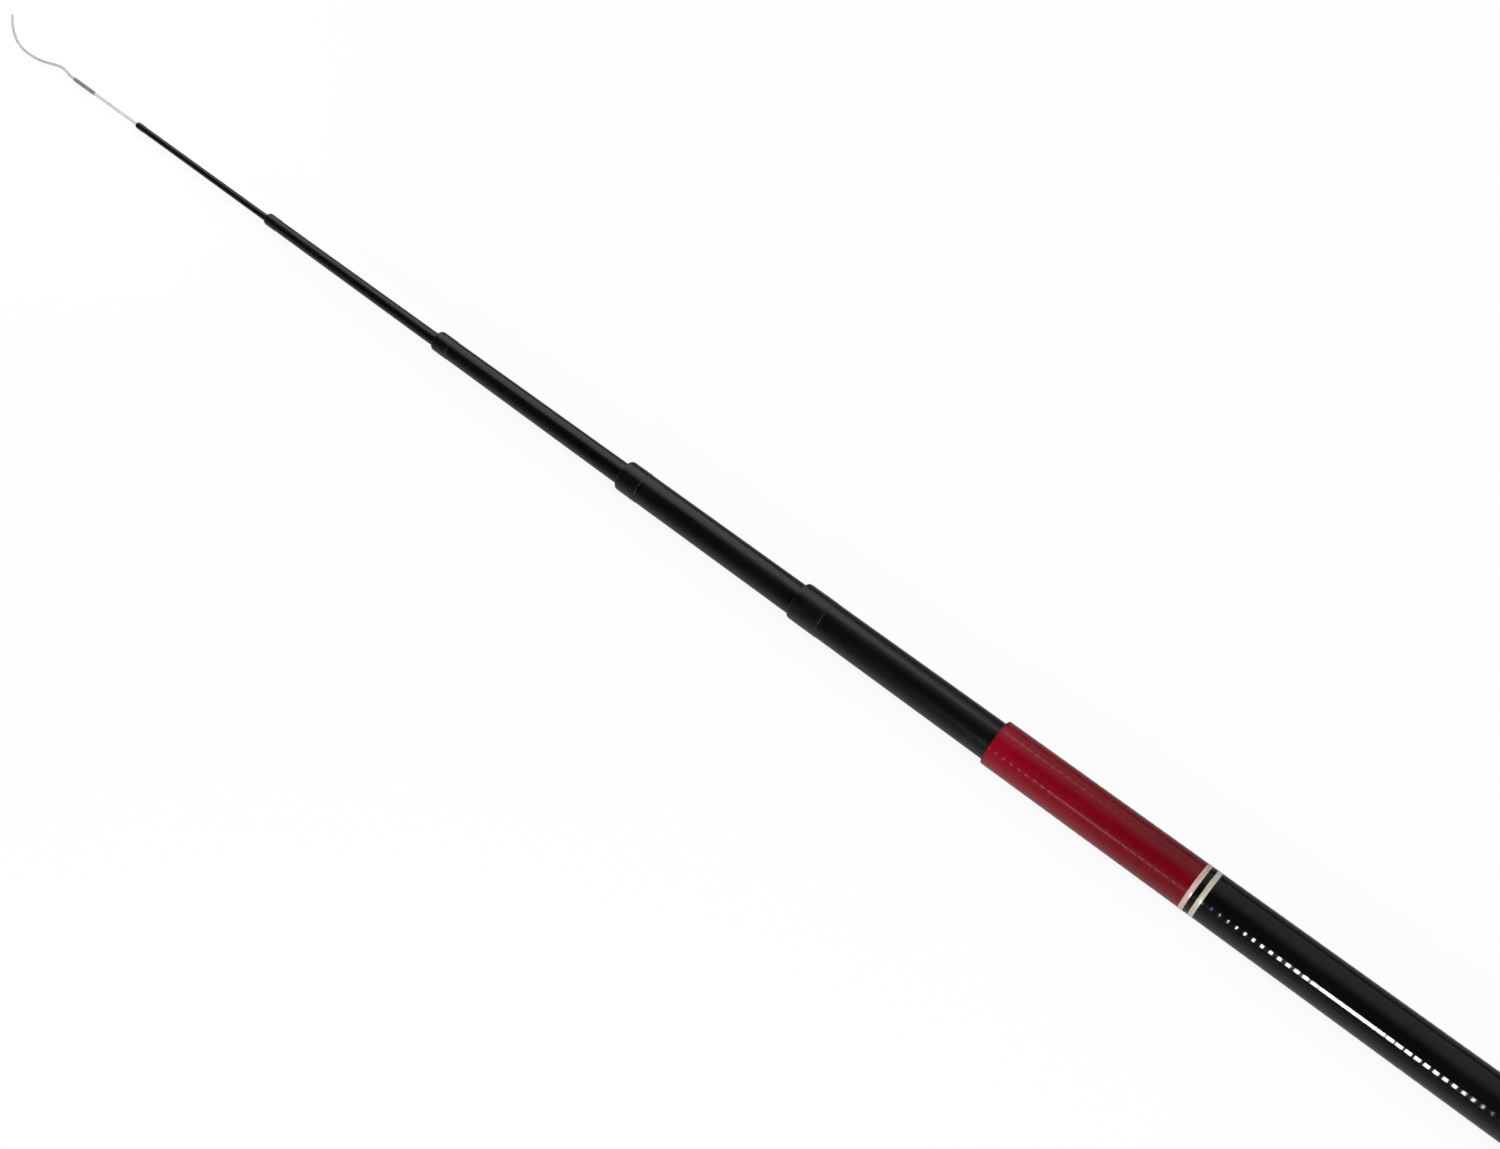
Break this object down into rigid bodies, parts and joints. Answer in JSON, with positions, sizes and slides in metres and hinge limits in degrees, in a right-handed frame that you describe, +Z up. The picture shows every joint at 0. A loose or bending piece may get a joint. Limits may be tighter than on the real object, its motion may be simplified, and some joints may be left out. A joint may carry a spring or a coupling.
{
  "type": "telescopic fishing pole",
  "caption": "Telescopic whip pole, partly drawn out: tapered sections nested in a lacquered butt, screw end cap, and a braided line tip.",
  "frame": {"origin": "centre of the end cap's flat face", "axes": "+X along the pole towards its tip, +Z up from the surface that it lies on, +Y to the left when looking towards the tip"},
  "size_m": [1.2161, 0.0243, 0.0208],
  "materials": {
    "black_lacquer": "glossy black lacquer over tape-wrapped blank",
    "red_lacquer": "deep crimson gloss lacquer over a reinforcing wrap",
    "cream_trim": "pinkish cream enamel",
    "black_blank": "satin black resin-bonded fibre",
    "binding_lacquer": "black thread under clear lacquer",
    "cap_plastic": "black moulded plastic",
    "collar_plastic": "black moulded plastic",
    "seal_rubber": "black rubber",
    "cushion_rubber": "dark grey foam rubber",
    "pale_tip": "pale satin glass fibre",
    "sleeve_thread": "dark grey woven sleeve",
    "lilian_braid": "pale grey braid"
  },
  "bodies": {
    "butt": {"butt_tube": "black_lacquer", "front_wrap": "red_lacquer", "trim_ring_front": "cream_trim", "trim_ring_rear": "cream_trim", "end_collar": "collar_plastic"},
    "cap_travel": {"cap_seal": "seal_rubber"},
    "cap": {"end_cap": "cap_plastic", "cap_cushion": "cushion_rubber"},
    "second": {"second_tube": "black_blank", "second_binding": "binding_lacquer"},
    "third": {"third_tube": "black_blank", "third_binding": "binding_lacquer"},
    "fourth": {"fourth_tube": "black_blank", "fourth_binding": "binding_lacquer"},
    "fifth": {"fifth_tube": "black_blank", "fifth_binding": "binding_lacquer"},
    "sixth": {"sixth_tube": "black_blank", "sixth_binding": "binding_lacquer"},
    "tip": {"tip_rod": "pale_tip", "tip_sleeve": "sleeve_thread", "lilian": "lilian_braid"}
  },
  "joints": [
    {"name": "cap_slide", "type": "slide", "parent": "butt", "child": "cap_travel", "axis": [-1, 0, 0], "range_m": [0, 0.0121]},
    {"name": "cap_screw", "type": "hinge", "parent": "cap_travel", "child": "cap", "pos_m": [0, 0, 0], "axis": [-1, 0, 0], "range_deg": [0, 2880]},
    {"name": "second_slide", "type": "slide", "parent": "butt", "child": "second", "axis": [1, -0.0002, 0.0002], "range_m": [-0.0995, 0.3656]},
    {"name": "third_slide", "type": "slide", "parent": "second", "child": "third", "axis": [1, -0.0005, 0.0005], "range_m": [-0.0965, 0.3816]},
    {"name": "fourth_slide", "type": "slide", "parent": "third", "child": "fourth", "axis": [1, -0.0005, 0.0005], "range_m": [-0.115, 0.3741]},
    {"name": "fifth_slide", "type": "slide", "parent": "fourth", "child": "fifth", "axis": [1, -0.0009, 0.0009], "range_m": [-0.1155, 0.3846]},
    {"name": "sixth_slide", "type": "slide", "parent": "fifth", "child": "sixth", "axis": [1, -0.0005, 0.0005], "range_m": [-0.0965, 0.4146]},
    {"name": "tip_slide", "type": "slide", "parent": "sixth", "child": "tip", "axis": [1, 0, 0], "range_m": [-0.034, 0.4861]}
  ],
  "couplings": [
    {"joint": "cap_slide", "follows": "cap_screw", "m_per_rad": 0.00023873}
  ]
}
